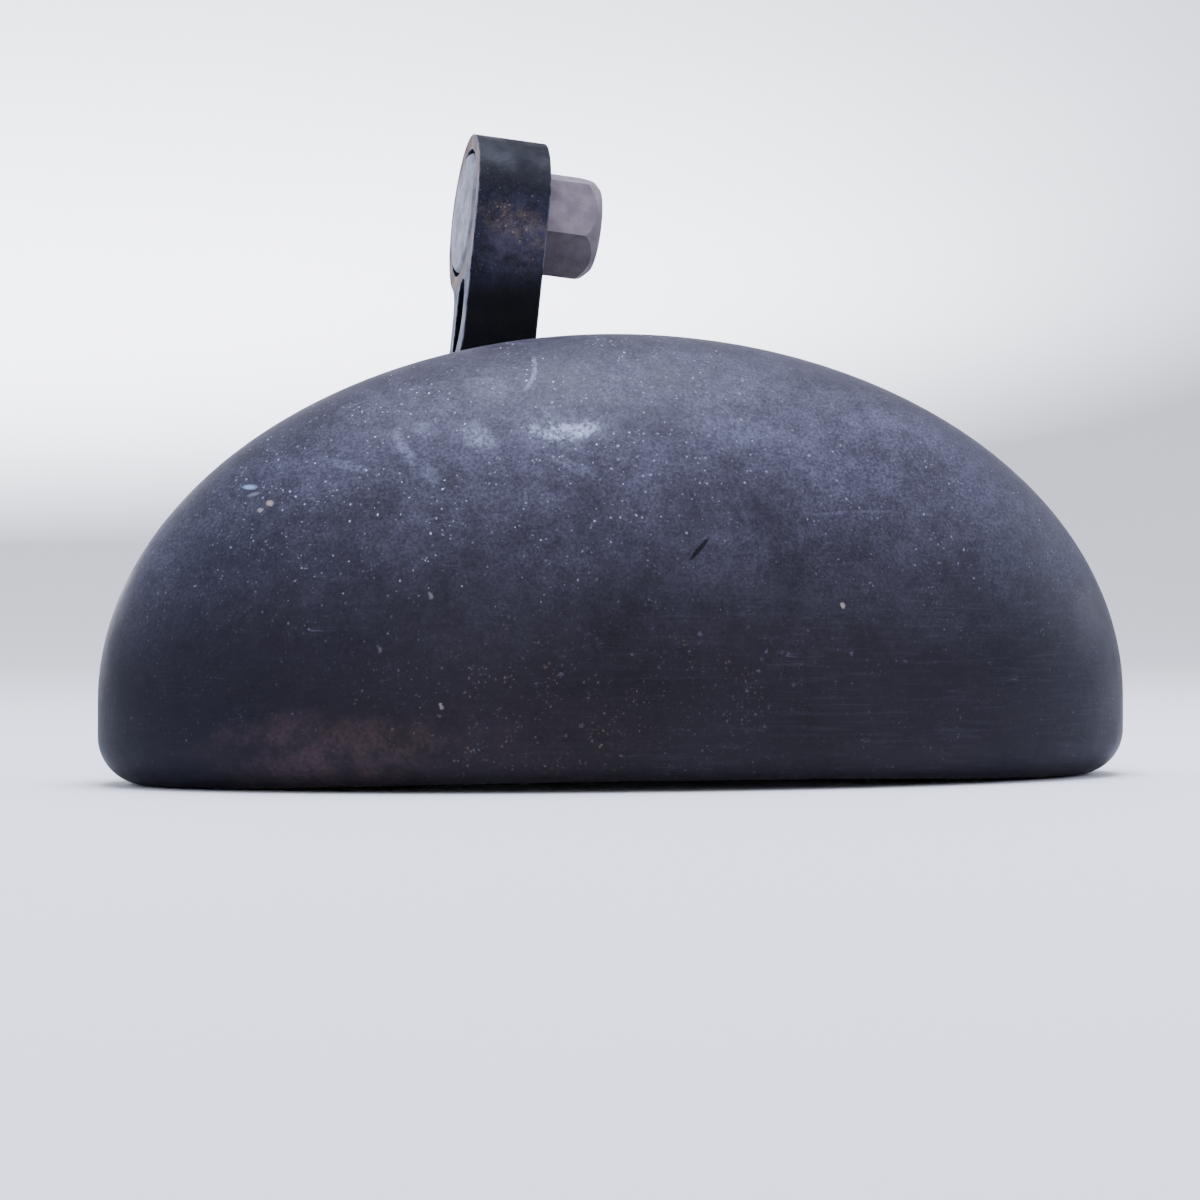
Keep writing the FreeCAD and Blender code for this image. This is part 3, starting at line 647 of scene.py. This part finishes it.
@dataclass
class Studio:
    """Round pale bowl, soft lights and the camera."""

    azimuth: float = -12.0
    camera_height: float = 24.6
    camera_reach: float = 396.0
    aim_right: float = -3.6
    crown_y: float = -4.5
    lens: float = 86.2
    sensor_width: float = 36.0
    floor_radius: float = 700.0
    curve_radius: float = 2400.0
    wall_top: float = 2600.0
    tone: str = "#eeeef0"
    cloud_tone: str = "#ececef"
    curve_steps: int = 14
    round_steps: int = 72
    sky: str = "#eaeef8"
    world_strength: float = 1.25
    lamps: tuple[Lamp, ...] = (
        Lamp("overhead", (20.0, -40.0, 620.0), (0.0, 0.0, 30.0), (420.0, 320.0), 8.0, "#dbe2ff"),
        Lamp("right_strip", (520.0, 60.0, 190.0), (0.0, 0.0, 30.0), (120.0, 300.0), 1.1, "#dfe6ff"),
        Lamp("left_strip", (-520.0, 120.0, 240.0), (0.0, 0.0, 30.0), (140.0, 260.0), 0.35,
             "#d4e0ff"),
        Lamp("back_wash", (-300.0, 1300.0, 700.0), (-480.0, 2200.0, 500.0), (1800.0, 500.0),
             60.0, "#f2f4ff"))

    def bowl(self) -> None:
        """Spin a floor that curves up all round into a low wall."""
        mesh = bmesh.new()
        hub = mesh.verts.new((0.0, 0.0, 0.0))
        rim = mesh.verts.new((self.floor_radius * MM, 0.0, 0.0))
        mesh.edges.new((hub, rim))
        centre = Vector((self.floor_radius * MM, 0.0, self.curve_radius * MM))
        curve = bmesh.ops.spin(mesh, geom=[rim], cent=centre, axis=(0.0, -1.0, 0.0),
                               angle=math.pi / 2, steps=self.curve_steps,
                               use_duplicate=False)["geom_last"]
        top = next(v for v in curve if isinstance(v, bmesh.types.BMVert))
        mesh.edges.new((top, mesh.verts.new((top.co.x, 0.0, self.wall_top * MM))))
        profile = [*mesh.verts, *mesh.edges]
        bmesh.ops.spin(mesh, geom=profile, cent=(0.0, 0.0, 0.0), axis=(0.0, 0.0, 1.0),
                       angle=math.tau, steps=self.round_steps, use_merge=True, use_duplicate=False)
        bmesh.ops.remove_doubles(mesh, verts=mesh.verts[:], dist=0.1 * MM)
        bmesh.ops.recalc_face_normals(mesh, faces=mesh.faces[:])
        data = bpy.data.meshes.new("studio_bowl")
        mesh.to_mesh(data)
        mesh.free()
        data.polygons.foreach_set("use_smooth", [True] * len(data.polygons))
        piece = bpy.data.objects.new("studio_bowl", data)
        bpy.context.scene.collection.objects.link(piece)
        # Matt paper: no highlight, hardly any change of tone.
        material, p = new_material("studio_paper_pale")
        tone = p.blend(p.clouds(300.0, 0.3, 0.7), self.tone, self.cloud_tone)
        close_material(p, tone, 0.85, p.bump(p.noise(2.0), 0.01), specular=0.1)
        data.materials.append(material)

    def light(self) -> None:
        """Hang the soft lights and set the sky's own glow."""
        for lamp in self.lamps:
            data = bpy.data.lights.new(lamp.name, "AREA")
            data.shape = "RECTANGLE"
            data.size, data.size_y = (side * MM for side in lamp.sides)
            data.energy = lamp.power
            data.color = linear(lamp.tint)[:3]
            held = bpy.data.objects.new(lamp.name, data)
            held.location = Vector(lamp.place) * MM
            toward = Vector(lamp.aim) * MM - held.location
            held.rotation_euler = toward.to_track_quat("-Z", "Y").to_euler()
            bpy.context.scene.collection.objects.link(held)
        world = bpy.data.worlds.new("pale_sky")
        world.use_nodes = True
        glow = world.node_tree.nodes["Background"]
        glow.inputs["Color"].default_value = linear(self.sky)
        glow.inputs["Strength"].default_value = self.world_strength
        bpy.context.scene.world = world

    def camera(self) -> None:
        """Stand the camera at its angle, level, aimed just above the base."""
        angle = math.radians(self.azimuth)
        right = Vector((math.cos(angle), math.sin(angle), 0.0))
        back = Vector((math.sin(angle), -math.cos(angle), 0.0))
        aim = Vector((0.0, self.crown_y, self.camera_height)) + right * self.aim_right
        data = bpy.data.cameras.new("camera")
        data.lens = self.lens
        data.sensor_width = self.sensor_width
        camera = bpy.data.objects.new("camera", data)
        camera.location = (aim + back * self.camera_reach) * MM
        camera.rotation_euler = (-back).to_track_quat("-Z", "Y").to_euler()
        bpy.context.scene.collection.objects.link(camera)
        bpy.context.scene.camera = camera

    def build(self) -> None:
        """Set up floor, light and camera."""
        self.bowl()
        self.light()
        self.camera()


# Zinc plate gone dull: pale blue-grey, mottled where the plate has thinned.
ZINC = WeatheredSteel("zinc_plate_dull", "#8c8f9a", "#585b66", "#3b3a42", "#b2b5bf",
                      metallic=0.1, roughness=0.62, grain=0.5, pit_depth=0.12,
                      specular=0.25)
# Bare machined steel, weathered: warm grey and matt, granular, with painted shade underneath.
NUT_STEEL = WeatheredSteel("grey_steel_weathered", "#81767a", "#655c62", "#5f4f4d", "#a59ea3",
                           stain_share=0.35, roughness=0.68, metallic=0.0, grain=0.22,
                           pit_depth=0.09, specular=0.22, underside_shade=0.42)
# Mild steel with a skin of rust: brown and dry, no highlight.
RUSTED = WeatheredSteel("steel_rusted", "#5b473e", "#3c2d27", "#6d4a33", "#8a6a55",
                        roughness=0.75, metallic=0.0, specular=0.25)
# Sintered bronze full of oil: dark yellow, with a wet gleam.
BRONZE = WeatheredSteel("bronze_oiled", "#8a6a3e", "#5f4626", "#3c2c1b", "#b08a55",
                        metallic=0.8, roughness=0.4)
# Zinc plate darkened by dirt: mid grey, a little metallic.
DARK_ZINC = WeatheredSteel("zinc_plate_darkened", "#5b5d66", "#3f4149", "#4b3d35", "#8e929d",
                           metallic=0.4)


@dataclass
class Casting:
    """The half-moon shoe itself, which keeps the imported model's shape."""

    finish: WornBluePaint = WornBluePaint()

    def build(self) -> None:
        """Dress the casting."""
        dress_node("shoe_shell", self.finish.build())


@dataclass
class EyeArm:
    """Forged arm with its eased edges, and the bush in its eye."""

    finish: ForgedBlackSteel = ForgedBlackSteel()
    edge_reach: float = 0.35

    def build(self, bronze: bpy.types.Material) -> None:
        """Make and dress the arm, and dress the bush."""
        arm = EasedPiece("hanger_arm", Body.SHOE, "arm_paint", self.edge_reach)
        arm.build(self.finish.build())
        dress_node("eye_bush", bronze)


@dataclass
class PivotSet:
    """Through bolt, the washer under its head, and its rounded nut."""

    bolt_reach: float = 0.2
    nut_reach: float = 1.1
    nut_steps: int = 4

    def build(self, zinc: bpy.types.Material, steel: bpy.types.Material,
              rusted: bpy.types.Material) -> None:
        """Make and dress the bolt and the nut, and dress the washer."""
        EasedPiece("pivot_bolt", Body.PIVOT, "zinc_steel", self.bolt_reach).build(zinc)
        nut = EasedPiece("pivot_nut", Body.PIVOT, "nut_steel", self.nut_reach, self.nut_steps)
        nut.build(steel)
        dress_node("head_washer", rusted)


@dataclass
class FootFasteners:
    """Four bolts that hold the arm's foot, with their washers, lock washers and nuts."""

    hex_reach: float = 0.25
    washer_reach: float = 0.2

    def build(self, zinc: bpy.types.Material, rusted: bpy.types.Material) -> None:
        """Make and dress bolts, nuts and washers, and dress the lock washers."""
        for node, reach, slot, finish in (
                ("foot_bolts", self.hex_reach, "fastener_steel", zinc),
                ("foot_nuts", self.hex_reach, "fastener_steel", zinc),
                ("foot_washers", self.washer_reach, "rusted_steel", rusted)):
            EasedPiece(node, Body.SHOE, slot, reach).build(finish)
        dress_node("foot_lock_washers", zinc)


def main() -> None:
    """Build each sub-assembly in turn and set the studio."""
    zinc, nut_steel, rusted, bronze, dark_zinc = (
        steel.build() for steel in (ZINC, NUT_STEEL, RUSTED, BRONZE, DARK_ZINC))
    Casting().build()
    EyeArm().build(bronze)
    PivotSet().build(zinc, nut_steel, rusted)
    FootFasteners().build(dark_zinc, rusted)
    Studio().build()


if __name__ == "__main__":
    logging.basicConfig(level=logging.INFO)
    main()
